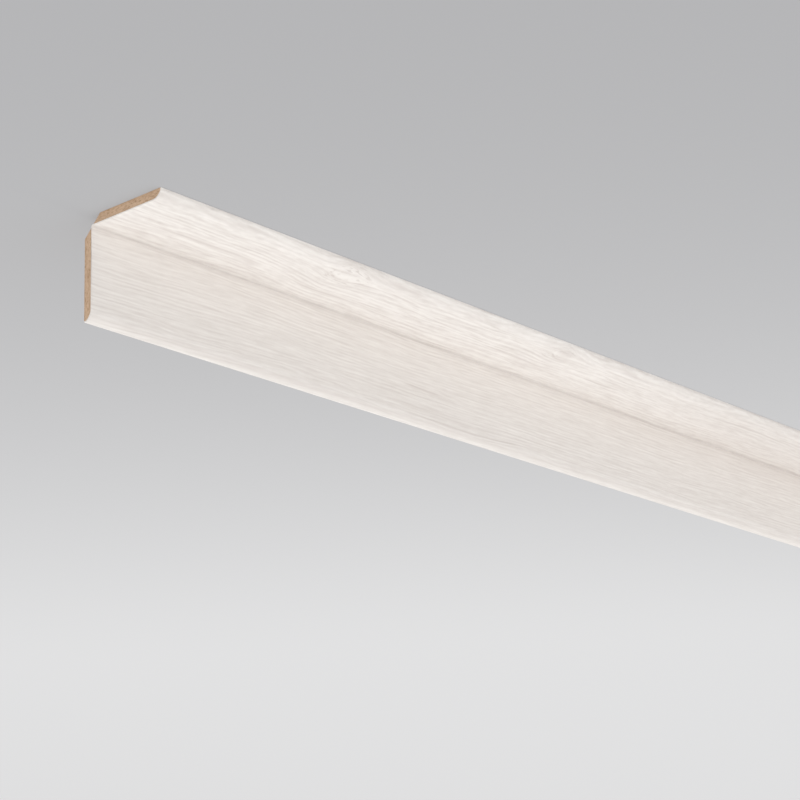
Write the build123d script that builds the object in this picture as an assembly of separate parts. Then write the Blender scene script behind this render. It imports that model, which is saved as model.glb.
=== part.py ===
from build123d import *
from math import asin, degrees, radians, sqrt, tan
import os

# Corner trim profile: a fibreboard strip faced with one decor foil, with a V groove along its back,
# folded to a right angle with the foil on the inside of the corner.
# It lies on the back of one leg, and the other leg stands up behind it.
# Millimetres, +X along the trim, +Z up, faces towards -Y and +Z.
# The origin is on the floor, under the middle of the trim's box.

# Driving dimensions
LENGTH = 2380.0  # stock length, sawn square at both ends
LEG_WIDTH = 33.0  # face of each leg, from the corner where the two faces meet to the toe
THICKNESS = 3.5  # each leg, fibreboard and foil together
FOIL_THICKNESS = 0.4
FOLD_RADIUS = 0.4  # bend of the foil in the corner, on its visible side
TOE_RADIUS = 4.5  # rounding of the face along the free edge
TOE_LAND = 1.0  # flat edge left between the rounding and the back
GROOVE_FLANK_ANGLE = 45.0  # lean of each flank of the V groove, in degrees
GROOVE_ROOT_GAP = 0.3  # fibreboard starts this far past the end of the foil's bend
FOIL_TRIM = 0.1  # foil ends this far short of the back, so that the back seats flat

# Sizes that follow from them
CORE_THICKNESS = THICKNESS - FOIL_THICKNESS
OUTER_WIDTH = LEG_WIDTH + THICKNESS
GROOVE_ROOT = FOLD_RADIUS + GROOVE_ROOT_GAP
FLANK_RUN = CORE_THICKNESS * tan(radians(GROOVE_FLANK_ANGLE))
TOE_DROP = THICKNESS - TOE_LAND
TOE_RUN = sqrt(TOE_RADIUS**2 - (TOE_RADIUS - TOE_DROP) ** 2)

# A leg is drawn in its section plane: the first coordinate runs along the face from the corner to
# the toe, and the second runs from the face down to the back.
CORNER = (0, OUTER_WIDTH / 2 - THICKNESS, THICKNESS)
BASE_LEG = Plane(origin=CORNER, x_dir=(0, -1, 0), z_dir=(1, 0, 0))
HALVING_PLANE = Plane(origin=CORNER, z_dir=(0, 1, 1))


def toe_arc(depth):
    """The toe's rounding at a depth below the visible face, from the flat face to the flat edge."""
    centre = (LEG_WIDTH - TOE_RUN, TOE_RADIUS)
    radius = TOE_RADIUS - depth
    turn = asin((TOE_RUN - depth) / radius)
    return CenterArc(centre, radius, -90, degrees(turn))


def fold_arc(depth):
    """Half of the foil's bend at a depth below the visible face, from the flat face to its middle."""
    return CenterArc((FOLD_RADIUS, -FOLD_RADIUS), FOLD_RADIUS + depth, 90, 45)


def core_section():
    """One leg's fibreboard: flat face, rounded toe, flat back and the groove's sloping flank."""
    rounding = toe_arc(FOIL_THICKNESS)
    sides = Polyline(
        rounding @ 1,
        (LEG_WIDTH - FOIL_THICKNESS, THICKNESS),
        (GROOVE_ROOT + FLANK_RUN, THICKNESS),
        (GROOVE_ROOT, FOIL_THICKNESS),
        rounding @ 0,
    )
    return make_face([rounding, sides])


def half_foil_section():
    """The foil over one leg, from the middle of the bend to its cut edge behind the toe."""
    outer_bend, outer_rounding = fold_arc(0), toe_arc(0)
    inner_bend, inner_rounding = fold_arc(FOIL_THICKNESS), toe_arc(FOIL_THICKNESS)
    cut_edge = THICKNESS - FOIL_TRIM
    outer_face = Line(outer_bend @ 0, outer_rounding @ 0)
    inner_face = Line(inner_bend @ 0, inner_rounding @ 0)
    toe_end = Polyline(
        outer_rounding @ 1,
        (LEG_WIDTH, cut_edge),
        (LEG_WIDTH - FOIL_THICKNESS, cut_edge),
        inner_rounding @ 1,
    )
    middle = Line(outer_bend @ 1, inner_bend @ 1)
    outer_side = [outer_bend, outer_face, outer_rounding]
    inner_side = [inner_rounding, inner_face, inner_bend]
    return make_face([*outer_side, toe_end, *inner_side, middle])


def run_along_trim(section):
    """A section drawn for the base leg, as a solid over the whole length."""
    return extrude(BASE_LEG * section, amount=LENGTH / 2, both=True)


def over_corner(solid):
    """The same solid on the other leg."""
    return mirror(solid, about=HALVING_PLANE)


base_leg_core = run_along_trim(core_section())
half_foil = run_along_trim(half_foil_section())
pieces = {
    "base_leg_core": base_leg_core,
    "upright_leg_core": over_corner(base_leg_core),
    "decor_foil": half_foil + over_corner(half_foil),
}

os.makedirs("parts", exist_ok=True)
for name, solid in pieces.items():
    export_step(solid, f"parts/{name}.step")
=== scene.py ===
from math import asin, cos, pi, radians, sin, sqrt, tan

import bmesh
import bpy
import numpy as np
from bpy.props import FloatProperty, FloatVectorProperty, IntProperty, PointerProperty
from mathutils import Matrix, Vector


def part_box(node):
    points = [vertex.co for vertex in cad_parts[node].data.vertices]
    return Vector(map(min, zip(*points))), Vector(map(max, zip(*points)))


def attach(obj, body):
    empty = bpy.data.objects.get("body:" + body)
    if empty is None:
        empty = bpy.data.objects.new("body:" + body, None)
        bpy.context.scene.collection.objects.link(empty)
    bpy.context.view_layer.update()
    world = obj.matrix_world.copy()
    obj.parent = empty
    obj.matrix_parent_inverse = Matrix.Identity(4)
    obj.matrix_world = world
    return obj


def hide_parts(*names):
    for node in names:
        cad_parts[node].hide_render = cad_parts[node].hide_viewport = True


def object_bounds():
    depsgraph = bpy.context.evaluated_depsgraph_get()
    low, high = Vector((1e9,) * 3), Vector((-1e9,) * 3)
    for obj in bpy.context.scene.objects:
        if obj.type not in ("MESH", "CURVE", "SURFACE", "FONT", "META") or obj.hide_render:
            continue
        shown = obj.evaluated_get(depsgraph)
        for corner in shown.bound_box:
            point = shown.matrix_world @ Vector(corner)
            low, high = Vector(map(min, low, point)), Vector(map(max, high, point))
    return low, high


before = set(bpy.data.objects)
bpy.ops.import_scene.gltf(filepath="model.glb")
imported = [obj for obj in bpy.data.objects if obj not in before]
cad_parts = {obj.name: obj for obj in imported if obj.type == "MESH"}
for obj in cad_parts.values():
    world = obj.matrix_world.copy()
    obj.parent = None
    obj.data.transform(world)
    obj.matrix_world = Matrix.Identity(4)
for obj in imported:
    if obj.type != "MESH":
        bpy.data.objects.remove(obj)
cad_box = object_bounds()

bl_info = {
    "name": "Corner Trim Profile",
    "version": (1, 0, 0),
    "blender": (4, 5, 0),
    "location": "View3D > Sidebar > Corner Trim",
    "description": "Dresses a folded corner trim: embossed wood-look foil over fibreboard legs",
    "category": "Object",
}

MM = 0.001
BODY = "root"
BASE_CORE, UPRIGHT_CORE, FOIL_NODE = "base_leg_core", "upright_leg_core", "decor_foil"
Y_AXIS, Z_AXIS = 1, 2

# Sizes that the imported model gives
BOX_LOW, BOX_HIGH = (Vector(corner) for corner in cad_box)
CORE_LOW, CORE_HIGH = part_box(BASE_CORE)
FOIL_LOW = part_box(FOIL_NODE)[0]
FOIL_THICKNESS = CORE_LOW.y - BOX_LOW.y
THICKNESS = CORE_HIGH.z + FOIL_THICKNESS
LEG_WIDTH = BOX_HIGH.z - BOX_LOW.z - THICKNESS
FOIL_TRIM = FOIL_LOW.z - BOX_LOW.z
CORNER = Vector((0, BOX_HIGH.y - THICKNESS, BOX_LOW.z + THICKNESS))
GROOVE_ROOT = CORNER.y - CORE_HIGH.y
NEAR_END = BOX_HIGH.x


# Settings

class TrimShape(bpy.types.PropertyGroup):
    """Section of the trim: two legs of fibreboard under one foil."""

    leg_width: FloatProperty(
        name="Leg width",
        description="Face of each leg, from the corner of the two faces to the toe",
        default=LEG_WIDTH,
        unit="LENGTH",
    )
    thickness: FloatProperty(
        name="Leg thickness",
        description="Fibreboard and foil together",
        default=THICKNESS,
        unit="LENGTH",
    )
    foil_thickness: FloatProperty(
        name="Foil thickness",
        description="Thickness of the foil alone",
        default=FOIL_THICKNESS,
        unit="LENGTH",
    )
    fold_radius: FloatProperty(
        name="Fold radius",
        description="Bend of the foil in the corner, on its visible side",
        default=0.4 * MM,
        unit="LENGTH",
    )
    toe_radius: FloatProperty(
        name="Toe radius",
        description="Rounding of the face along the free edge",
        default=4.5 * MM,
        unit="LENGTH",
    )
    toe_land: FloatProperty(
        name="Toe land",
        description="Flat edge between the rounding and the back",
        default=1.0 * MM,
        unit="LENGTH",
    )
    foil_trim: FloatProperty(
        name="Foil trim",
        description="How far the foil ends short of the back",
        default=FOIL_TRIM,
        unit="LENGTH",
    )
    groove_root: FloatProperty(
        name="Groove root",
        description="From the corner of the two faces to the start of the fibreboard",
        default=GROOVE_ROOT,
        unit="LENGTH",
    )
    groove_flank: FloatProperty(
        name="Groove flank",
        description="Lean of each flank of the V groove",
        default=radians(45),
        subtype="ANGLE",
    )


class GrainLook(bpy.types.PropertyGroup):
    """Embossed and printed wood grain of the foil."""

    seed: IntProperty(
        name="Seed",
        description="Picks the grain lines and knots",
        default=11,
    )
    column_pitch: FloatProperty(
        name="Column pitch",
        description="Mesh width across the grain",
        default=0.25 * MM,
        unit="LENGTH",
    )
    row_pitch: FloatProperty(
        name="Row pitch",
        description="Mesh length along the grain, away from knots",
        default=10.5 * MM,
        unit="LENGTH",
    )
    line_pitch: FloatProperty(
        name="Line pitch",
        description="Mean distance between embossed grain lines",
        default=0.85 * MM,
        unit="LENGTH",
    )
    line_length: FloatProperty(
        name="Line length",
        description="Mean length of an embossed grain line",
        default=42 * MM,
        unit="LENGTH",
    )
    line_depth: FloatProperty(
        name="Line depth",
        description="Depth of the deepest embossed grain line",
        default=0.06 * MM,
        unit="LENGTH",
    )
    streak_width: FloatProperty(
        name="Streak width",
        description="Half width of the long dark streaks",
        default=0.6 * MM,
        unit="LENGTH",
    )
    # Broad darker bands: the listed one on the base leg is painted shade, where the light fades along the
    # trim; the others are random tone of the wood
    tone_and_shade_band_width: FloatProperty(
        name="Band width",
        description="Half width of the broad bands where the wood is a little darker",
        default=30 * MM,
        unit="LENGTH",
    )
    # Painted shade in the corner crease: the foil's colour darkens over this width from the fold
    painted_fold_width: FloatProperty(
        name="Fold line",
        description="Width over which the foil darkens at the fold",
        default=0.75 * MM,
        unit="LENGTH",
    )
    # Painted shade where the foil turns over a toe: a darker band at this distance from the corner, with
    # the half width below
    painted_toe_shade_place: FloatProperty(
        name="Toe turn",
        description="From the corner to the darkest line of the foil where it turns over a toe",
        default=31.9 * MM,
        unit="LENGTH",
    )
    painted_toe_shade_width: FloatProperty(
        name="Turn width",
        description="Half width of that darker band",
        default=1.5 * MM,
        unit="LENGTH",
    )
    white: FloatVectorProperty(
        name="Foil white",
        description="Colour of the lightest grain",
        default=(0.953, 0.912, 0.87),
        subtype="COLOR",
    )
    shade: FloatVectorProperty(
        name="Grain shade",
        description="Colour of the darker grain",
        default=(0.66, 0.599, 0.559),
        subtype="COLOR",
    )


class BoardLook(bpy.types.PropertyGroup):
    """Raw fibreboard of the legs."""

    seed: IntProperty(
        name="Seed",
        description="Picks the saw marks on the ends",
        default=5,
    )
    end_pitch: FloatProperty(
        name="End pitch",
        description="Mesh width on the sawn ends",
        default=0.3 * MM,
        unit="LENGTH",
    )
    saw_pitch: FloatProperty(
        name="Saw pitch",
        description="Distance between the saw marks on the ends",
        default=1.3 * MM,
        unit="LENGTH",
    )
    saw_depth: FloatProperty(
        name="Saw depth",
        description="Depth of the deepest saw mark",
        default=0.07 * MM,
        unit="LENGTH",
    )
    plain: FloatVectorProperty(
        name="Board tan",
        description="Main colour of the fibreboard",
        default=(0.61, 0.425, 0.285),
        subtype="COLOR",
    )
    dark: FloatVectorProperty(
        name="Fibre dark",
        description="Colour of the darker fibres",
        default=(0.38, 0.22, 0.12),
        subtype="COLOR",
    )
    pale: FloatVectorProperty(
        name="Fibre pale",
        description="Colour of the paler fibres",
        default=(0.78, 0.57, 0.4),
        subtype="COLOR",
    )


class StageLook(bpy.types.PropertyGroup):
    """Floor, light and camera."""

    # The floor's grey to pale ramp is painted shade, standing in for light that fades across the floor
    floor_near: FloatVectorProperty(
        name="Floor near",
        description="Floor colour on the camera's side of the trim",
        default=(0.46, 0.46, 0.47),
        subtype="COLOR",
    )
    floor_far: FloatVectorProperty(
        name="Floor far",
        description="Floor colour on the far side of the trim",
        default=(0.76, 0.76, 0.765),
        subtype="COLOR",
    )
    floor_bounce: FloatVectorProperty(
        name="Floor bounce",
        description="Floor colour for the light that it throws back at the trim",
        default=(0.6, 0.6, 0.6),
        subtype="COLOR",
    )
    floor_glow: FloatProperty(
        name="Floor glow",
        description="Share of the floor's look that is its own glow, which keeps shadows faint",
        default=0.6,
        subtype="FACTOR",
    )
    sky: FloatProperty(
        name="Sky",
        description="Strength of the even light all round",
        default=0.73,
    )
    overhead: FloatProperty(
        name="Overhead strip",
        description="Brightness of the strip light above the trim",
        default=2.46,
    )
    overhead_soft: FloatProperty(
        name="Overhead softbox",
        description="Brightness of the wide light above the trim",
        default=0.38,
    )
    front: FloatProperty(
        name="Front fill",
        description="Brightness of the low light in front of the upright leg",
        default=1.89,
    )
    end: FloatProperty(
        name="End fill",
        description="Brightness of the light on the near end",
        default=1.2,
    )
    azimuth: FloatProperty(
        name="Camera azimuth",
        description="Turn of the camera about the trim, from looking along +Y",
        default=radians(49.259),
        subtype="ANGLE",
    )
    elevation: FloatProperty(
        name="Camera elevation",
        description="Angle that the camera looks down by",
        default=radians(18.241),
        subtype="ANGLE",
    )
    roll: FloatProperty(
        name="Camera roll",
        description="Turn of the camera about its own axis; near half a turn, the flat leg is on top",
        default=radians(178.030),
        subtype="ANGLE",
    )
    lens: FloatProperty(
        name="Lens",
        description="Focal length for a sensor 36 mm wide",
        default=105.57,
        unit="CAMERA",
    )
    aim_from_end: FloatProperty(
        name="Aim from end",
        description="Distance from the near end to the point of the upright leg that the camera looks at",
        default=151.76 * MM,
        unit="LENGTH",
    )
    aim_height: FloatProperty(
        name="Aim height",
        description="Height of that point above the floor",
        default=29.52 * MM,
        unit="LENGTH",
    )
    distance: FloatProperty(
        name="Camera distance",
        description="From the camera to that point",
        default=871.2 * MM,
        unit="LENGTH",
    )


# Shader maths

class Field:
    """A shader socket that takes part in Python arithmetic, each step of which adds a Math node."""

    def __init__(self, graph, socket):
        self.graph = graph
        self.socket = socket

    def __add__(self, other):
        return self.graph.maths("ADD", self, other)

    def __radd__(self, other):
        return self.graph.maths("ADD", other, self)

    def __sub__(self, other):
        return self.graph.maths("SUBTRACT", self, other)

    def __rsub__(self, other):
        return self.graph.maths("SUBTRACT", other, self)

    def __mul__(self, other):
        return self.graph.maths("MULTIPLY", self, other)

    def __rmul__(self, other):
        return self.graph.maths("MULTIPLY", other, self)

    def __truediv__(self, other):
        return self.graph.maths("DIVIDE", self, other)


class Graph:
    """A material's node tree, written from the surface backwards."""

    def __init__(self, name):
        self.material = bpy.data.materials.new(name)
        self.material.use_nodes = True
        self.tree = self.material.node_tree
        self.tree.nodes.clear()

    def node(self, kind, settings=None, inputs=None):
        """Adds a node with its settings made first, then the values or links of its sockets."""
        made = self.tree.nodes.new(kind)
        for name, value in (settings or {}).items():
            setattr(made, name, value)
        for name, value in (inputs or {}).items():
            socket = made.inputs[name]
            if isinstance(value, Field):
                self.tree.links.new(value.socket, socket)
            else:
                socket.default_value = value
        return made

    def field(self, kind, settings=None, inputs=None, output=0):
        """The same, for the node's output."""
        return Field(self, self.node(kind, settings, inputs).outputs[output])

    def maths(self, operation, first, second=0.0):
        """A Math node's result; some operations take no second value."""
        return self.field("ShaderNodeMath", {"operation": operation}, {0: first, 1: second})

    def split(self, vector):
        """The three parts of a vector."""
        made = self.node("ShaderNodeSeparateXYZ", inputs={0: vector})
        return [Field(self, socket) for socket in made.outputs]

    def point(self, x, y, z):
        """A vector from its three parts."""
        return self.field("ShaderNodeCombineXYZ", inputs={0: x, 1: y, 2: z})

    def noise(self, vector, scale=1.0, detail=2.0, roughness=0.5):
        """Smooth noise about a half."""
        return self.field(
            "ShaderNodeTexNoise",
            {"noise_dimensions": "3D"},
            {"Vector": vector, "Scale": scale, "Detail": detail, "Roughness": roughness},
        )

    def fibres(self, along, across, length, width, seed, detail=1.0):
        """Noise drawn out along the trim, with marks about this long and this wide."""
        return self.noise(self.point(along / length, across / width, seed), detail=detail)

    def streaks(self, along, across, places, width, full):
        """Long marks, as the strongest of them all: each fades to its ends beyond a full middle share."""
        strongest = 0.0
        for middle, flow, half in places:
            reach = self.step(self.maths("ABSOLUTE", along - middle), half, half * full)
            line = self.step(self.maths("ABSOLUTE", across - flow), width, 0.0)
            strongest = self.maths("MAXIMUM", strongest, reach * line)
        return strongest

    def step(self, value, low, high):
        """A smooth step from 0 at low to 1 at high."""
        return self.field(
            "ShaderNodeMapRange",
            {"interpolation_type": "SMOOTHSTEP", "clamp": True},
            {"Value": value, "From Min": low, "From Max": high},
        )

    def mix(self, factor, first, second):
        """One colour over another by a factor. Numbers tell a Mix node's colour sockets apart."""
        return self.field(
            "ShaderNodeMix",
            {"data_type": "RGBA", "clamp_factor": True},
            {0: factor, 6: first, 7: second},
            output=2,
        )

    def surface(self, colour, roughness, normal, constants):
        """The material's Principled shader and output."""
        inputs = {"Base Color": colour, "Roughness": roughness, "Normal": normal, **constants}
        shader = self.field("ShaderNodeBsdfPrincipled", inputs=inputs)
        self.node("ShaderNodeOutputMaterial", inputs={"Surface": shader})
        return self.material


def opaque(colour):
    """A colour with full alpha."""
    return (*colour, 1.0)


# Section of a leg

class LegSection:
    """One leg in section: distance along the face from the corner, and depth below the face."""

    # Steps of the half bend and of the toe's rounding, on the visible side and on the glued side
    BEND_STEPS, GLUED_BEND_STEPS = 6, 3
    TOE_STEPS, GLUED_TOE_STEPS = 18, 6
    BOARD_TOE_STEPS = 12

    def __init__(self, shape):
        self.width = shape.leg_width
        self.thickness = shape.thickness
        self.root = shape.groove_root
        self.flank = shape.groove_flank
        self.foil = shape.foil_thickness
        self.fold = shape.fold_radius
        self.toe = shape.toe_radius
        self.cut = shape.thickness - shape.foil_trim
        drop = shape.thickness - shape.toe_land
        self.run = sqrt(self.toe**2 - (self.toe - drop) ** 2)

    def bend(self, depth, steps):
        """From the middle of the bend to the flat face."""
        turn = np.radians(np.linspace(135, 90, steps + 1))
        reach = self.fold + depth
        return np.stack([self.fold + reach * np.cos(turn), -self.fold + reach * np.sin(turn)], 1)

    def rounding(self, depth, steps):
        """From the flat face round the toe, and the outward directions there."""
        centre = np.array([self.width - self.run, self.toe])
        radius = self.toe - depth
        turn = np.linspace(0, asin((self.run - depth) / radius), steps + 1)
        outward = np.stack([np.sin(turn), -np.cos(turn)], 1)
        return centre + radius * outward, outward

    def visible(self, pitch):
        """The visible side, from the middle of the bend to the cut edge, and its outward normals."""
        bend = self.bend(0, self.BEND_STEPS)
        bend_normals = (np.array([self.fold, -self.fold]) - bend) / self.fold
        rounding, rounding_normals = self.rounding(0, self.TOE_STEPS)
        face = between(bend[-1], rounding[0], pitch)
        face_normals = np.tile([0.0, -1.0], (len(face), 1))
        edge, edge_normal = [(self.width, self.cut)], [(1.0, 0.0)]
        points = np.concatenate([bend, face, rounding, edge])
        return points, np.concatenate([bend_normals, face_normals, rounding_normals, edge_normal])

    def glued(self):
        """The side that is glued to the board, from the middle of the bend to the cut edge."""
        bend = self.bend(self.foil, self.GLUED_BEND_STEPS)
        rounding, _ = self.rounding(self.foil, self.GLUED_TOE_STEPS)
        edge = [(self.width - self.foil, self.cut)]
        return np.concatenate([bend, rounding, edge])

    def board(self, pitch):
        """The board's sawn end as a grid, with rows from face to back and columns from groove to toe."""
        rounding, _ = self.rounding(self.foil, self.BOARD_TOE_STEPS)
        heel = np.array([self.width - self.foil, self.thickness])
        toe = np.concatenate([rounding, between(rounding[-1], heel, pitch), [heel]])
        groove = self.root + (toe[:, 1] - self.foil) * tan(self.flank)
        count = round((self.width - self.root) / pitch)
        along = groove[:, None] + (toe[:, 0] - groove)[:, None] * np.linspace(0, 1, count + 1)
        below = np.repeat(toe[:, 1:], count + 1, axis=1)
        return np.stack([along, below], -1)


def between(start, end, pitch):
    """Evenly spaced points between two points, without the two."""
    steps = max(2, round(np.linalg.norm(end - start) / pitch))
    return np.linspace(start, end, steps + 1)[1:-1]


def on_base_leg(points):
    """Places across the trim of section points on the base leg."""
    return np.stack([CORNER.y - points[..., 0], CORNER.z - points[..., 1]], -1)


def on_upright_leg(points):
    """Places across the trim of section points on the upright leg."""
    return np.stack([CORNER.y + points[..., 1], CORNER.z + points[..., 0]], -1)


def both_legs(points):
    """A line of section points on the base leg, from its toe, and on over the upright leg."""
    return np.concatenate([on_base_leg(points)[::-1], on_upright_leg(points)[1:]])


def both_normals(normals):
    """The outward directions along the same line, with one in the middle of the bend."""
    along, below = normals.T
    base = np.stack([-along, -below], 1)[::-1]
    upright = np.stack([below, along], 1)
    middle = base[-1] + upright[0]
    base[-1] = middle / np.linalg.norm(middle)
    return np.concatenate([base, upright[1:]])


def unrolled(outline, middle):
    """Distance of each point of an outline from its middle point, measured along it."""
    lengths = np.linalg.norm(np.diff(outline, axis=0), axis=1)
    travel = np.concatenate([[0], np.cumsum(lengths)])
    return travel - travel[middle]


# Grain of the foil

class Grain:
    """Wood grain over the unrolled foil: how it runs, its knots, streaks, bands and embossed lines."""

    # Length and height of the waves that the grain runs in
    WAVES = (
        (900 * MM, 1.6 * MM),
        (430 * MM, 0.8 * MM),
        (170 * MM, 0.35 * MM),
        (74 * MM, 0.14 * MM),
    )
    WAVE_LEAN = 25 * MM  # across the grain, for a wave to fall behind by one radian
    # Knots, streaks and broad bands have a place from the near end and one across from the corner,
    # where the base leg counts as negative. A knot has its half width, and the others their length.
    SEEN_KNOTS = (
        (95 * MM, -26.5 * MM, 3.7 * MM),
        (216 * MM, -28.0 * MM, 2.4 * MM),
    )
    SEEN_STREAKS = (
        (350 * MM, -24.4 * MM, 75 * MM),
        (255 * MM, -16.7 * MM, 24 * MM),
        (205 * MM, -14.0 * MM, 45 * MM),
        (122 * MM, -31.5 * MM, 26 * MM),
        (99 * MM, -10.2 * MM, 40 * MM),
        (40 * MM, -14.5 * MM, 60 * MM),
        (165 * MM, 19.0 * MM, 26 * MM),
        (190 * MM, 30.0 * MM, 95 * MM),
    )
    # The listed band is painted shade, where the light fades along the base leg; the hidden bands are
    # random tone
    SEEN_PAINTED_SHADE_BANDS = ((450 * MM, -19.0 * MM, 520 * MM),)
    # Marks beyond the stretch where they are listed, spread at random
    HIDDEN_FROM = 420 * MM
    HIDDEN_SHIFT = 0.3
    HIDDEN_KNOTS = 7
    KNOT_ACROSS = (9 * MM, 28 * MM)
    KNOT_SIZE = (2.0 * MM, 3.8 * MM)
    HIDDEN_STREAKS = 12
    STREAK_ACROSS = (4 * MM, 31 * MM)
    STREAK_LENGTH = (25 * MM, 75 * MM)
    HIDDEN_BANDS = 3
    BAND_ACROSS = (10 * MM, 25 * MM)
    BAND_LENGTH = (350 * MM, 550 * MM)
    # How the grain parts round a knot, as shares of the knot's half width
    KNOT_STRETCH = 3.2
    KNOT_PUSH = 0.55
    KNOT_HEART = 1.2
    KNOT_REACH = 4.0
    # The dark rim of a knot, as shares of its half width, and where the rim is darkest and how soft
    RIM_LENGTH, RIM_WIDTH = 2.1, 1.5
    RIM_PLACE, RIM_SOFTNESS = 0.9, 0.45
    # Mesh rows near a knot
    KNOT_ROW_REACH = 15 * MM
    KNOT_ROW_PITCH = 3.6 * MM
    ROW_SAMPLES = 4000
    # Embossed lines: the spread of their lengths, depths and places, and the gaps between them
    LINE_MARGIN = 4 * MM
    LINE_SPREAD = (-0.2, 0.55)
    DEPTH_SPREAD = (1.6, 2.6)
    LINE_HALF_WIDTH = (0.18 * MM, 0.3 * MM)
    LINE_WANDER = 0.22
    NEXT_LINE = (0.75, 1.35)
    NEXT_ROW = (0.7, 1.3)
    # The grain of the base leg is coarser than that of the upright leg by this much
    COARSENESS = 2.1
    # Painted shade over the toe of each leg, as a share of the painted shade in the corner crease
    BASE_TURN, UPRIGHT_TURN = 0.4, 0.85

    def __init__(self, look, length, half_width):
        self.look = look
        self.length = length
        self.half_width = half_width
        self.random = np.random.default_rng(look.seed)
        self.phases = self.random.uniform(0, 2 * pi, len(self.WAVES))
        self.knots = self.place_knots()
        self.streaks = self.place_marks(
            self.SEEN_STREAKS, self.HIDDEN_STREAKS, self.STREAK_ACROSS, self.STREAK_LENGTH
        )
        self.lines = self.place_lines()
        self.bands = self.place_marks(
            self.SEEN_PAINTED_SHADE_BANDS, self.HIDDEN_BANDS, self.BAND_ACROSS, self.BAND_LENGTH
        )

    def hidden_places(self, count):
        """Places beyond the visible stretch, spread over the rest of the trim."""
        places = np.linspace(self.HIDDEN_FROM, self.length, count + 2)[1:-1]
        shifts = self.random.uniform(-self.HIDDEN_SHIFT, self.HIDDEN_SHIFT, count)
        return places + shifts * (places[1] - places[0])

    def either_leg(self, reach):
        """A place across on one of the two legs, within a reach from the corner."""
        return self.random.choice([-1, 1]) * self.random.uniform(*reach)

    def place_knots(self):
        """Knots: each has a place along, a place across and a half width."""
        knots = list(self.SEEN_KNOTS)
        for place in self.hidden_places(self.HIDDEN_KNOTS):
            across = self.either_leg(self.KNOT_ACROSS)
            knots.append((place, across, self.random.uniform(*self.KNOT_SIZE)))
        return [(NEAR_END - place, across, size) for place, across, size in knots]

    def place_marks(self, seen, hidden, reach, lengths):
        """Long darker marks: each has a place along, a flow place and a half length."""
        marks = list(seen)
        for place in self.hidden_places(hidden):
            marks.append((place, self.either_leg(reach), self.random.uniform(*lengths)))
        placed = []
        for place, across, run in marks:
            x = NEAR_END - place
            flow = self.flow(np.array([x]), np.array([across]))
            placed.append((x, float(flow[0]), run / 2))
        return placed

    def place_lines(self):
        """Rows of embossed lines: each has a flow place, a start, an end, a depth and a half width."""
        lines = []
        reach = self.half_width + self.LINE_MARGIN
        across = -reach
        while across < reach:
            x = -self.length / 2 - self.random.uniform(0, self.look.line_length)
            while x < self.length / 2:
                run = self.look.line_length * self.random.lognormal(*self.LINE_SPREAD)
                depth = self.look.line_depth * self.random.beta(*self.DEPTH_SPREAD)
                half = self.random.uniform(*self.LINE_HALF_WIDTH)
                place = across + self.random.normal(0, self.LINE_WANDER) * self.look.line_pitch
                lines.append((place, x, x + run, depth, half))
                x += run * self.random.uniform(*self.NEXT_LINE)
            across += self.look.line_pitch * self.random.uniform(*self.NEXT_ROW)
        return lines

    def rows(self):
        """Places of the mesh rows along the trim, closer together at the knots."""
        x = np.linspace(-self.length / 2, self.length / 2, self.ROW_SAMPLES)
        density = np.full_like(x, 1 / self.look.row_pitch)
        for place, *_ in self.knots:
            density += np.exp(-(((x - place) / self.KNOT_ROW_REACH) ** 2)) / self.KNOT_ROW_PITCH
        count = np.concatenate([[0], np.cumsum((density[1:] + density[:-1]) / 2 * np.diff(x))])
        return np.interp(np.linspace(0, count[-1], int(count[-1]) + 1), count, x)

    def flow(self, x, across):
        """The place across the grain that each point has: lines of equal flow follow the grain."""
        flow = np.where(across < 0, across / self.COARSENESS, across)
        for (length, height), phase in zip(self.WAVES, self.phases):
            flow = flow + height * np.sin(2 * pi * x / length + phase + across / self.WAVE_LEAN)
        for place, middle, size in self.knots:
            off = across - middle
            near = np.exp(-(((x - place) / (self.KNOT_STRETCH * size)) ** 2))
            fade = np.exp(-((off / (self.KNOT_REACH * size)) ** 2))
            spread = np.tanh(off / (self.KNOT_HEART * size)) * fade
            flow = flow - self.KNOT_PUSH * size * near * spread
        return flow

    def knot_shade(self, x, across):
        """How dark the rims of the knots are, from 0 to 1."""
        shade = np.zeros_like(x)
        for place, middle, size in self.knots:
            off_along = (x - place) / (self.RIM_LENGTH * size)
            off_across = (across - middle) / (self.RIM_WIDTH * size)
            off = np.hypot(off_along, off_across) - self.RIM_PLACE
            shade = np.maximum(shade, np.exp(-((off / self.RIM_SOFTNESS) ** 2)))
        return shade

    def paint_bend_shade(self, across):
        """Painted shade where the foil bends: darker in the corner crease and in a band where it turns
        over each toe.
        """
        fold = np.exp(-np.abs(across) / self.look.painted_fold_width)
        turn = np.exp(-(((np.abs(across) - self.look.painted_toe_shade_place) / self.look.painted_toe_shade_width) ** 2))
        return fold + turn * np.where(across < 0, self.BASE_TURN, self.UPRIGHT_TURN)

    def depth(self, x, flow):
        """Depth of the embossed lines."""
        depth = np.zeros_like(x)
        row_places = x[:, 0]
        for place, start, end, deep, half in self.lines:
            first, last = np.searchsorted(row_places, (start, end))
            if last <= first:
                continue
            rows = slice(first, last)
            share = (row_places[rows] - start) / (end - start)
            taper = np.sqrt(np.clip(np.sin(pi * share), 0, 1))
            dent = np.exp(-(((flow[rows] - place) / half) ** 2))
            depth[rows] = np.maximum(depth[rows], deep * taper[:, None] * dent)
        return depth


# Meshes

# Edges that turn by more than this stay sharp
FOIL_SHARP, BOARD_SHARP = radians(45), radians(32)
# Across the corner, for the grain to go from one leg's coarseness to the other's
COARSE_BLEND = 4 * MM
# Saw marks on an end: how far they sway and lean, and how much of their depth is even
SAW_SWAY_LENGTH, SAW_SWAY = 9 * MM, 1.5
SAW_LEAN = 0.45
SAW_EVEN = 0.6


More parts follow.
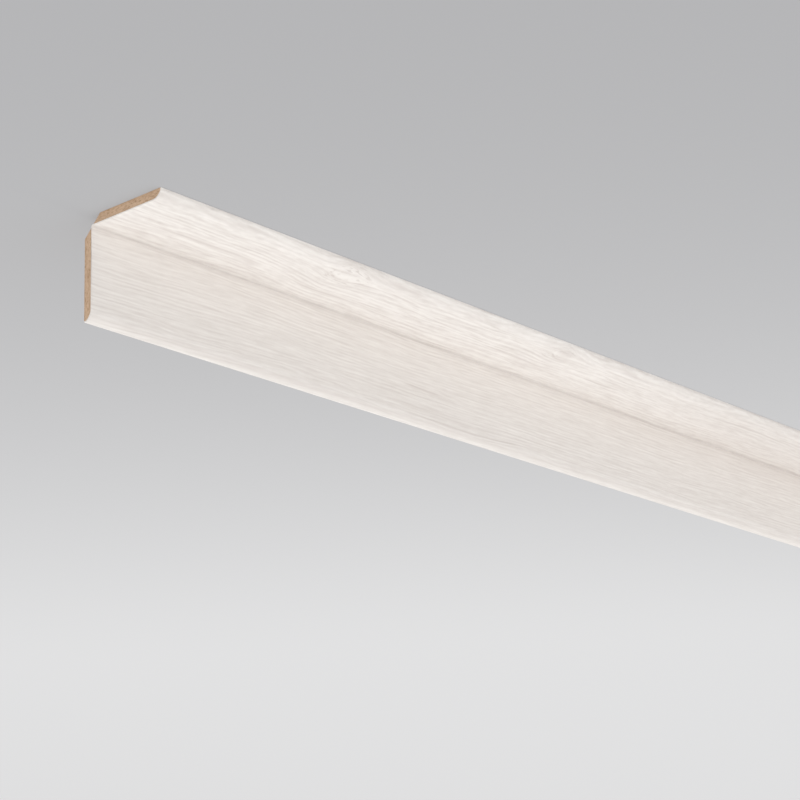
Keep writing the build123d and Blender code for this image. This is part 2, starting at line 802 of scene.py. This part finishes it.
def grid_faces(first, rows, columns, flip):
    """Quads between the points of a grid whose points are numbered row by row."""
    start = first + np.arange(rows - 1)[:, None] * columns + np.arange(columns - 1)[None, :]
    quads = np.stack([start, start + columns, start + columns + 1, start + 1], -1).reshape(-1, 4)
    return quads[:, ::-1] if flip else quads


def strip_faces(one, other, flip):
    """Triangles between two lines of points, each a list of (number, place along the line from 0 to 1)."""
    faces, i, j = [], 0, 0
    while i < len(one) - 1 or j < len(other) - 1:
        ahead = j == len(other) - 1 or (i < len(one) - 1 and one[i + 1][1] <= other[j + 1][1])
        if ahead:
            face = (one[i][0], one[i + 1][0], other[j][0])
            i += 1
        else:
            face = (one[i][0], other[j + 1][0], other[j][0])
            j += 1
        faces.append(face[::-1] if flip else face)
    return faces


def sheet_polygons(row_count, front_across, back_across):
    """Faces of a closed sheet: its front, its back, both long edges and both ends."""
    front_count, back_count = len(front_across), len(back_across)
    first_back = row_count * front_count
    faces = [
        grid_faces(0, row_count, front_count, False),
        grid_faces(first_back, row_count, back_count, True),
    ]
    front_ids = np.arange(first_back).reshape(row_count, front_count)
    back_ids = first_back + np.arange(row_count * back_count).reshape(row_count, back_count)
    for column, flip in ((0, True), (-1, False)):
        pair = np.stack([front_ids[:, column], back_ids[:, column]], 1)
        quads = np.concatenate([pair[:-1], pair[1:, ::-1]], 1)
        faces.append(quads if flip else quads[:, ::-1])
    polygons = [tuple(face) for group in faces for face in group.tolist()]
    front_share = (front_across - front_across[0]) / np.ptp(front_across)
    back_share = (back_across - back_across[0]) / np.ptp(back_across)
    for row, flip in ((0, False), (-1, True)):
        one = list(zip(front_ids[row].tolist(), front_share))
        other = list(zip(back_ids[row].tolist(), back_share))
        polygons += strip_faces(one, other, flip)
    return polygons


def points_at(x, across):
    """A list of points from places along the trim and places across it."""
    across = np.broadcast_to(across, (*x.shape, 2))
    return np.concatenate([x[..., None], across], -1).reshape(-1, 3)


def smooth(mesh, sharp):
    """Smooth shading, apart from edges that turn by more than an angle."""
    mesh.polygons.foreach_set("use_smooth", np.ones(len(mesh.polygons), bool))
    mesh.set_sharp_from_angle(angle=sharp)


def foil_mesh(shape, look):
    """The foil as one closed sheet, with its grain pressed into the visible side, and that grain."""
    section = LegSection(shape)
    points, normals = section.visible(look.column_pitch)
    front = both_legs(points)
    outward = both_normals(normals)
    back = both_legs(section.glued())
    front_across = unrolled(front, len(points) - 1)
    back_across = unrolled(back, len(section.glued()) - 1)
    grain = Grain(look, BOX_HIGH.x - BOX_LOW.x, front_across[-1])
    rows = grain.rows()

    x, across = np.meshgrid(rows, front_across, indexing="ij")
    flow = grain.flow(x, across)
    land_fade = np.clip((front_across[-1] - np.abs(across)) / shape.toe_land, 0, 1)
    depth = grain.depth(x, flow) * land_fade
    back_x, back_w = np.meshgrid(rows, back_across, indexing="ij")
    front_points = points_at(x, front - depth[..., None] * outward)
    vertices = np.concatenate([front_points, points_at(back_x, back)])
    polygons = sheet_polygons(len(rows), front_across, back_across)

    mesh = bpy.data.meshes.new("decor_foil_sheet")
    mesh.from_pydata(vertices.tolist(), [], polygons)
    mesh.update()
    front_grain = np.stack([x, flow, depth / look.line_depth], -1).reshape(-1, 3)
    back_grain = np.stack([back_x, grain.flow(back_x, back_w), 0 * back_x], -1).reshape(-1, 3)
    store_vectors(mesh, "grain", np.concatenate([front_grain, back_grain]))
    # Painted shade in the crease and over the toes goes into the marks attribute, beside the knot rims and
    # the coarseness
    painted_bend_shade = grain.paint_bend_shade(across)
    coarse = np.clip(0.5 - across / COARSE_BLEND, 0, 1)
    front_marks = np.stack([grain.knot_shade(x, across), painted_bend_shade, coarse], -1).reshape(-1, 3)
    back_marks = np.zeros((back_x.size, 3))
    store_vectors(mesh, "marks", np.concatenate([front_marks, back_marks]))
    smooth(mesh, FOIL_SHARP)
    return mesh, grain


def store_vectors(mesh, name, values):
    """Gives each point of a mesh a vector, for the material."""
    mesh.attributes.new(name, "FLOAT_VECTOR", "POINT").data.foreach_set("vector", values.ravel())


def saw_marks(grid, look, random):
    """Depth of the slanting marks that the saw leaves on an end."""
    along, below = grid[..., 0], grid[..., 1]
    sway = np.sin(2 * pi * along / SAW_SWAY_LENGTH + random.uniform(0, 2 * pi))
    turn = 2 * pi * (along + SAW_LEAN * below) / look.saw_pitch + SAW_SWAY * sway
    marks = 0.5 + 0.5 * np.sin(turn)
    return look.saw_depth * (SAW_EVEN * marks + (1 - SAW_EVEN) * random.random(along.shape))


def board_mesh(name, shape, look, on_leg):
    """One leg's board over the whole length, with saw marks on both ends."""
    grid = LegSection(shape).board(look.end_pitch)
    rows, columns = grid.shape[:2]
    random = np.random.default_rng(look.seed)
    ends = []
    for x, inward in ((BOX_LOW.x, 1), (BOX_HIGH.x, -1)):
        places = x + inward * saw_marks(grid, look, random)
        ends.append(points_at(places, on_leg(grid)))
    count = rows * columns
    numbers = np.arange(count).reshape(rows, columns)
    rim = np.concatenate([numbers[0], numbers[1:, -1], numbers[-1, -2::-1], numbers[-2:0:-1, 0]])
    ahead = np.roll(rim, -1)
    sides = np.stack([rim, ahead, ahead + count, rim + count], 1)
    faces = [grid_faces(0, rows, columns, False), grid_faces(count, rows, columns, True), sides]
    mesh = bpy.data.meshes.new(name)
    mesh.from_pydata(np.concatenate(ends).tolist(), [], np.concatenate(faces).tolist())
    shell = bmesh.new()
    shell.from_mesh(mesh)
    bmesh.ops.recalc_face_normals(shell, faces=shell.faces)
    shell.to_mesh(mesh)
    shell.free()
    smooth(mesh, BOARD_SHARP)
    return mesh


# Materials

# Printed grain: the width of a ring, and how far the grain sways from side to side
RING_PITCH = 1.3 * MM
RING_DRIFT = 2.0
PRINT_SWAY = 1.8 * MM
# How far each kind of mark takes the foil from its white to its shade
PLAIN_TONE = 0.25
RING_TONE = 0.09
LINE_TONE = 0.6
FLECK_TONE = 0.5
CLOUD_TONE = 0.3
PORE_TONE = 0.3
DENT_TONE = 0.22
STREAK_TONE = 0.6
BAND_TONE_AND_SHADE = 0.4
KNOT_TONE, TICK_TONE = 0.06, 0.74
# Painted shade in the corner crease and over the toes
BEND_PAINTED_SHADE = 0.42
# The base leg's printed lines are stronger by this much
COARSE_TONE = 0.5
# Lean of the short ticks round a knot
TICK_SLANT = 1.7
# Finish of the foil, and its relief that is too fine for the mesh
FOIL_ROUGHNESS, FOIL_SPECULAR = 0.52, 0.35
FOIL_BUMP = 0.06 * MM
# How far each kind of fibre takes the board from its plain colour
PALE_CLOUD, PALE_FIBRE = 0.35, 0.7
DARK_FIBRE, DARK_SPECK, DARK_SANDING, DARK_SKIN = 0.75, 0.55, 0.16, 0.22
SKIN_FROM, SKIN_TO = 0.05 * MM, 0.8 * MM
# Finish of the board and its fine relief
BOARD_ROUGHNESS, BOARD_SPECULAR = 0.78, 0.25
BOARD_BUMP = 0.12 * MM


def foil_material(look, grain):
    """Matt warm white foil, printed with wavy rings, short grain marks, streaks, broad bands and a few
    knots, with painted shade in the corner crease, over the toes and in one band on the base leg.
    """
    graph = Graph("wood_look_foil")
    place = graph.field("ShaderNodeAttribute", {"attribute_name": "grain"}, output="Vector")
    marks = graph.field("ShaderNodeAttribute", {"attribute_name": "marks"}, output="Vector")
    along, across, dent = graph.split(place)
    # The middle mark is painted shade in the crease and over the toes
    knot, painted_bend_shade, coarse = graph.split(marks)

    sway = graph.fibres(along, across, length=30 * MM, width=4 * MM, seed=2.3) - 0.5
    across = across + sway * PRINT_SWAY
    slant = along + TICK_SLANT * across
    patches = graph.fibres(along, across, length=60 * MM, width=6 * MM, seed=12.4, detail=2.0)
    clouds = graph.fibres(along, across, length=40 * MM, width=1.9 * MM, seed=1.7, detail=2.0)
    drift = graph.fibres(along, across, length=70 * MM, width=5 * MM, seed=5.6)
    rings = graph.maths("SINE", (across / RING_PITCH + drift * RING_DRIFT) * (2 * pi))
    lines = graph.fibres(along, across, length=24 * MM, width=0.8 * MM, seed=4.1)
    flecks = graph.fibres(along, across, length=9 * MM, width=0.6 * MM, seed=7.3)
    pores = graph.fibres(along, across, length=3.4 * MM, width=0.5 * MM, seed=6.6)
    ticks = graph.fibres(slant, across, length=3.5 * MM, width=0.4 * MM, seed=9.9)
    streak = graph.streaks(along, across, grain.streaks, look.streak_width, full=0.4)
    band = graph.streaks(along, across, grain.bands, look.tone_and_shade_band_width, full=0.0)

    white, shade = opaque(look.white), opaque(look.shade)
    ringed = graph.step(patches, 0.3, 0.6)
    ticked = graph.step(ticks, 0.52, 0.66)
    printed = rings * ringed * RING_TONE + (lines - 0.5) * LINE_TONE + (flecks - 0.5) * FLECK_TONE
    tone = PLAIN_TONE + (1 + coarse * COARSE_TONE) * printed
    tone = tone + (clouds - 0.5) * coarse * CLOUD_TONE + (pores - 0.5) * (1 + coarse) * PORE_TONE
    colour = graph.mix(tone, white, shade)
    colour = graph.mix(dent * DENT_TONE, colour, shade)
    colour = graph.mix(streak * STREAK_TONE, colour, shade)
    # Broad bands: random tone, and in the listed band painted shade
    colour = graph.mix(band * BAND_TONE_AND_SHADE, colour, shade)
    colour = graph.mix(knot * (KNOT_TONE + ticked * TICK_TONE), colour, shade)
    # Painted shade in the corner crease and over the toes
    colour = graph.mix(painted_bend_shade * BEND_PAINTED_SHADE, colour, shade)

    roughness = FOIL_ROUGHNESS + 0.12 * flecks - 0.08 * lines
    height = flecks * 0.5 + lines * 0.5
    normal = graph.field(
        "ShaderNodeBump",
        inputs={"Strength": 0.4, "Distance": FOIL_BUMP, "Height": height},
    )
    return graph.surface(colour, roughness, normal, {"Specular IOR Level": FOIL_SPECULAR})


def board_material(name, depth_axis, back_place, look, shape):
    """Raw fibreboard: matted fibres that lie along the board, denser and darker towards its two faces."""
    graph = Graph(name)
    place = graph.split(graph.field("ShaderNodeTexCoord", output="Object"))
    along, depth, wide = place[0], place[depth_axis], place[Y_AXIS + Z_AXIS - depth_axis]
    board = shape.thickness - shape.foil_thickness
    below = graph.maths("ABSOLUTE", depth - back_place)
    edge = graph.maths("MINIMUM", below, board - below)
    skin = 1 - graph.step(edge, SKIN_FROM, SKIN_TO)

    def matted(length, width, height, **options):
        """Noise with marks about this long, this wide and this high in the board."""
        return graph.noise(graph.point(along / length, wide / width, depth / height), **options)

    fibres = matted(1.3 * MM, 1.3 * MM, 0.42 * MM, detail=4.0)
    specks = matted(MM, MM, MM, scale=2.6)
    clouds = matted(14 * MM, 6 * MM, 1.5 * MM)
    sanding = matted(50 * MM, 0.5 * MM, 5 * MM)

    plain, dark, pale = opaque(look.plain), opaque(look.dark), opaque(look.pale)
    colour = graph.mix(graph.step(clouds, 0.35, 0.65) * PALE_CLOUD, plain, pale)
    colour = graph.mix(graph.step(fibres, 0.5, 0.72) * DARK_FIBRE, colour, dark)
    colour = graph.mix(graph.step(fibres, 0.48, 0.28) * PALE_FIBRE, colour, pale)
    colour = graph.mix(graph.step(specks, 0.58, 0.72) * DARK_SPECK, colour, dark)
    colour = graph.mix(graph.step(sanding, 0.55, 0.75) * DARK_SANDING, colour, dark)
    colour = graph.mix(skin * DARK_SKIN, colour, dark)

    roughness = BOARD_ROUGHNESS + 0.15 * specks
    height = fibres * 0.7 + specks * 0.3
    normal = graph.field(
        "ShaderNodeBump",
        inputs={"Strength": 0.5, "Distance": BOARD_BUMP, "Height": height},
    )
    return graph.surface(colour, roughness, normal, {"Specular IOR Level": BOARD_SPECULAR})


# Operators

def add_piece(scene, name, mesh, node):
    """Puts a mesh in the place of the plain node that it details."""
    piece = bpy.data.objects.new(name, mesh)
    scene.collection.objects.link(piece)
    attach(piece, BODY)
    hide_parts(node)


class CORNERTRIM_OT_fibreboard_legs(bpy.types.Operator):
    """Build both fibreboard legs with their sawn ends and raw finish"""

    bl_idname = "corner_trim.fibreboard_legs"
    bl_label = "Fibreboard Legs"

    def execute(self, context):
        look, shape = context.scene.trim_board, context.scene.trim_shape
        legs = (
            ("base_leg_board", BASE_CORE, on_base_leg, Z_AXIS, BOX_LOW.z),
            ("upright_leg_board", UPRIGHT_CORE, on_upright_leg, Y_AXIS, BOX_HIGH.y),
        )
        for name, core, on_leg, axis, back in legs:
            mesh = board_mesh(name, shape, look, on_leg)
            mesh.materials.append(board_material(name, axis, back, look, shape))
            add_piece(context.scene, name, mesh, core)
        return {"FINISHED"}


class CORNERTRIM_OT_decor_foil(bpy.types.Operator):
    """Lay the embossed wood-look foil over both legs"""

    bl_idname = "corner_trim.decor_foil"
    bl_label = "Decor Foil"

    def execute(self, context):
        look = context.scene.trim_grain
        mesh, grain = foil_mesh(context.scene.trim_shape, look)
        mesh.materials.append(foil_material(look, grain))
        add_piece(context.scene, "decor_foil_sheet", mesh, FOIL_NODE)
        return {"FINISHED"}


class CORNERTRIM_OT_stage(bpy.types.Operator):
    """Set the floor, the soft light and the camera"""

    bl_idname = "corner_trim.stage"
    bl_label = "Stage"

    def execute(self, context):
        stage = context.scene.trim_stage
        camera = add_camera(context.scene, stage)
        add_floor(context.scene, stage)
        add_lights(context.scene, stage)
        context.scene.camera = camera
        context.scene.view_settings.view_transform = "Standard"
        return {"FINISHED"}


# Stage, in metres. A softbox has its place from the point that it faces, and its two sides.
FLOOR_HALF = 30.0
FLOOR_GAP = 0.02 * MM
# Span of the floor's painted shade from grey to pale, in metres away from the camera's side of the near
# end
FLOOR_GREY_TO, FLOOR_PALE_FROM = -0.2, 0.72
SENSOR_WIDTH = 36.0  # in millimetres
OVERHEAD_STRIP = (Vector((0.2, 0.09, 1.8)), (5.0, 0.18))
OVERHEAD_SOFT = (Vector((0.2, 0.21, 1.8)), (5.0, 1.18))
FRONT_FILL = (Vector((-2.6, -4.4, 0.84)), (10.0, 1.5))
END_FILL = (Vector((2.0, 0.3, 0.9)), (1.2, 1.2))


def view_axes(stage):
    """The camera's right, up and backward directions."""
    turn, lift, roll = stage.azimuth, stage.elevation, stage.roll
    back = Vector((sin(turn) * cos(lift), -cos(turn) * cos(lift), sin(lift)))
    level = Vector((cos(turn), sin(turn), 0))
    upright = back.cross(level)
    right = cos(roll) * level + sin(roll) * upright
    up = cos(roll) * upright - sin(roll) * level
    return right, up, back


def placed_axes(place, x_axis, y_axis, z_axis):
    """The matrix of something at a place, turned to three axes."""
    return Matrix.Translation(place) @ Matrix((x_axis, y_axis, z_axis)).transposed().to_4x4()


def add_camera(scene, stage):
    """A camera at the photograph's viewing angle."""
    right, up, back = view_axes(stage)
    aim = Vector((NEAR_END - stage.aim_from_end, CORNER.y, BOX_LOW.z + stage.aim_height))
    data = bpy.data.cameras.new("photo_camera")
    data.lens = stage.lens
    data.sensor_width = SENSOR_WIDTH
    data.sensor_fit = "HORIZONTAL"
    camera = bpy.data.objects.new("photo_camera", data)
    camera.matrix_world = placed_axes(aim + back * stage.distance, right, up, back)
    scene.collection.objects.link(camera)
    return camera


def add_floor(scene, stage):
    """A wide pale floor, greyer on the camera's side and paler beyond the trim: painted shade, standing in
    for light that fades across the floor.
    """
    mesh = bpy.data.meshes.new("floor")
    corners = [(x * FLOOR_HALF, y * FLOOR_HALF, 0) for x, y in ((-1, -1), (1, -1), (1, 1), (-1, 1))]
    mesh.from_pydata(corners, [], [(0, 1, 2, 3)])
    floor = bpy.data.objects.new("floor", mesh)
    floor.location = (0, 0, BOX_LOW.z - FLOOR_GAP)
    graph = Graph("pale_floor")
    x, y, _ = graph.split(graph.field("ShaderNodeTexCoord", output="Object"))
    # Painted shade: the floor's colour runs from grey on the camera's side to pale beyond
    away = y * cos(stage.azimuth) - (x - NEAR_END) * sin(stage.azimuth)
    paleness = graph.step(away, FLOOR_GREY_TO, FLOOR_PALE_FROM)
    shown = graph.mix(paleness, opaque(stage.floor_near), opaque(stage.floor_far))
    # What is seen of the floor is set apart from the even light that it throws back
    path = graph.node("ShaderNodeLightPath").outputs
    rays = ("Is Camera Ray", "Is Glossy Ray", "Is Transmission Ray")
    camera, glossy, transmitted = (Field(graph, path[name]) for name in rays)
    seen = camera + glossy + transmitted
    colour = graph.mix(seen, opaque(stage.floor_bounce), shown)
    lit = graph.field("ShaderNodeBsdfDiffuse", inputs={"Color": colour})
    glow = graph.field("ShaderNodeEmission", inputs={"Color": shown})
    shader = graph.field("ShaderNodeMixShader", inputs={0: seen * stage.floor_glow, 1: lit, 2: glow})
    graph.node("ShaderNodeOutputMaterial", inputs={"Surface": shader})
    mesh.materials.append(graph.material)
    scene.collection.objects.link(floor)


def add_lights(scene, stage):
    """Even light all round, two lights overhead, a low fill in front and one at the near end."""
    world = bpy.data.worlds.new("studio")
    world.use_nodes = True
    background = world.node_tree.nodes["Background"]
    background.inputs["Color"].default_value = (1, 1, 1, 1)
    background.inputs["Strength"].default_value = stage.sky
    scene.world = world
    middle = Vector((0, BOX_HIGH.y, 0))
    near = Vector((NEAR_END, 0, 0))
    add_softbox(scene, "overhead_strip", OVERHEAD_STRIP, middle, stage.overhead)
    add_softbox(scene, "overhead_soft", OVERHEAD_SOFT, middle, stage.overhead_soft)
    add_softbox(scene, "front_fill", FRONT_FILL, middle, stage.front)
    add_softbox(scene, "end_fill", END_FILL, near, stage.end)


def add_softbox(scene, name, placing, target, brightness):
    """A flat light of an even brightness that faces a target, with its first side along the trim."""
    offset, size = placing
    data = bpy.data.lights.new(name, "AREA")
    data.shape = "RECTANGLE"
    data.size, data.size_y = size
    data.energy = pi * size[0] * size[1] * brightness
    lamp = bpy.data.objects.new(name, data)
    back = offset.normalized()
    along = Vector((1, 0, 0))
    side = (along - back * along.dot(back)).normalized()
    lamp.matrix_world = placed_axes(target + offset, side, back.cross(side), back)
    lamp.visible_camera = False
    scene.collection.objects.link(lamp)


# Panel and registration

class CORNERTRIM_PT_panel(bpy.types.Panel):
    """Steps that dress the corner trim"""

    bl_label = "Corner Trim"
    bl_space_type = "VIEW_3D"
    bl_region_type = "UI"
    bl_category = "Corner Trim"

    def draw(self, context):
        for operator in OPERATORS:
            self.layout.operator(operator.bl_idname)
        for name in SETTINGS:
            group = getattr(context.scene, name)
            box = self.layout.box()
            for key in group.bl_rna.properties.keys():
                if key not in ("rna_type", "name"):
                    box.prop(group, key)


SETTINGS = {
    "trim_shape": TrimShape,
    "trim_grain": GrainLook,
    "trim_board": BoardLook,
    "trim_stage": StageLook,
}
OPERATORS = (CORNERTRIM_OT_fibreboard_legs, CORNERTRIM_OT_decor_foil, CORNERTRIM_OT_stage)
CLASSES = (*SETTINGS.values(), *OPERATORS, CORNERTRIM_PT_panel)


def register():
    for item in CLASSES:
        bpy.utils.register_class(item)
    for name, group in SETTINGS.items():
        setattr(bpy.types.Scene, name, PointerProperty(type=group))


def unregister():
    for name in SETTINGS:
        delattr(bpy.types.Scene, name)
    for item in reversed(CLASSES):
        bpy.utils.unregister_class(item)


def main():
    register()
    bpy.ops.corner_trim.fibreboard_legs()
    bpy.ops.corner_trim.decor_foil()
    bpy.ops.corner_trim.stage()


if __name__ == "__main__":
    main()
